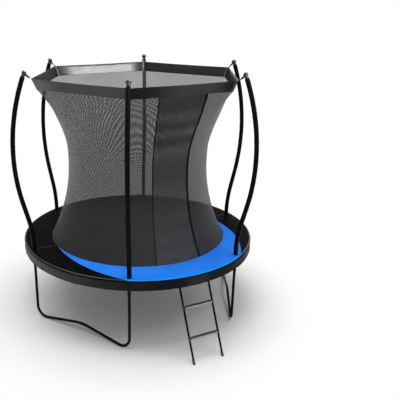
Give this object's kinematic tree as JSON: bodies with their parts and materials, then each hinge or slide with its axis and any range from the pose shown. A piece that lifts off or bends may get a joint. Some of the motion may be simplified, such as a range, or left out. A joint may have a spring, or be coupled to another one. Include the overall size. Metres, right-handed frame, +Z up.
{
  "type": "trampoline",
  "caption": "Round garden trampoline with bowed padded poles, waisted safety net with zipped door, spring pad with skirt and hook-on ladder.",
  "frame": {"origin": "on the floor, under the centre of the mat", "axes": "+Z up; the door and the ladder are on the diagonal between +X and -Y, the ladder leans out that way"},
  "size_m": [2.6526, 2.6526, 2.6049],
  "materials": {
    "leg_paint": "black powder coat, satin",
    "ring_steel": "zinc-plated steel",
    "pole_steel": "zinc-plated steel tube",
    "sleeve_foam": "black vinyl over foam",
    "cap_plastic": "moulded, black",
    "pad_cover": "coated cloth, black with a blue crescent by the door",
    "skirt_cloth": "woven cloth, black",
    "mat_weave": "close woven cloth, black",
    "webbing": "flat woven webbing, black",
    "spring_steel": "zinc-plated wire",
    "net_mesh": "fine black mesh, see-through",
    "band_cloth": "coated cloth, black",
    "zip_cloth": "zip tape with moulded teeth, black",
    "zip_metal": "black lacquer",
    "ladder_paint": "black powder coat, satin",
    "step_paint": "dark grey powder coat with a pale front lip",
    "clip_plastic": "moulded, off-white",
    "foot_rubber": "grey rubber",
    "bolt_zinc": "zinc-plated"
  },
  "bodies": {
    "frame": {"leg_uprights": "leg_paint", "leg_base_1": "leg_paint", "leg_base_2": "leg_paint", "leg_base_3": "leg_paint", "ring_tube_1": "ring_steel", "ring_tube_2": "ring_steel", "ring_tube_3": "ring_steel", "ring_tube_4": "ring_steel", "ring_tube_5": "ring_steel", "ring_tube_6": "ring_steel", "ring_socket_1": "ring_steel", "ring_socket_2": "ring_steel", "ring_socket_3": "ring_steel", "ring_socket_4": "ring_steel", "ring_socket_5": "ring_steel", "ring_socket_6": "ring_steel", "pole_lower_1": "pole_steel", "pole_lower_2": "pole_steel", "pole_lower_3": "pole_steel", "pole_lower_4": "pole_steel", "pole_lower_5": "pole_steel", "pole_lower_6": "pole_steel", "pole_upper_1": "pole_steel", "pole_upper_2": "pole_steel", "pole_upper_3": "pole_steel", "pole_upper_4": "pole_steel", "pole_upper_5": "pole_steel", "pole_upper_6": "pole_steel", "pole_sleeves": "sleeve_foam", "pole_caps": "cap_plastic", "pad": "pad_cover", "pad_skirt": "skirt_cloth", "net_straps": "webbing", "springs": "spring_steel", "net_panel_door": "net_mesh", "net_panel_door_edge": "net_mesh", "net_panel_right": "net_mesh", "net_panel_right_back": "net_mesh", "net_panel_left_back": "net_mesh", "net_panel_left": "net_mesh", "net_panel_left_front": "net_mesh", "net_door_flap": "net_mesh", "net_band": "band_cloth", "zip_tape": "zip_cloth", "pole_bolts": "bolt_zinc", "frame_screws": "bolt_zinc"},
    "mat": {"mat": "mat_weave", "mat_webbing": "webbing", "vee_rings": "spring_steel", "net_hem": "webbing"},
    "ladder": {"ladder_rail_left": "ladder_paint", "ladder_rail_right": "ladder_paint", "ladder_hooks": "ladder_paint", "ladder_step_lower": "step_paint", "ladder_step_upper": "step_paint", "ladder_step_clips": "clip_plastic", "ladder_feet": "foot_rubber", "ladder_bolts": "bolt_zinc"},
    "zip_slider": {"zip_slider": "zip_metal"}
  },
  "joints": [
    {"name": "mat_bounce", "type": "slide", "parent": "frame", "child": "mat", "axis": [0, 0, 1], "range_m": [-0.15, 0], "stiffness_N_per_m": 5000, "springref_m": 0.02, "deforming": ["springs"]},
    {"name": "ladder_swing", "type": "hinge", "parent": "frame", "child": "ladder", "pos_m": [0.84381, -0.84381, 0.746], "axis": [-0.7071, -0.7071, 0], "range_deg": [0, 4]},
    {"name": "zip_travel", "type": "hinge", "parent": "frame", "child": "zip_slider", "pos_m": [2.15727, -1.2455, 1.62], "axis": [0.5, 0.866, 0], "range_deg": [0, 26]}
  ]
}
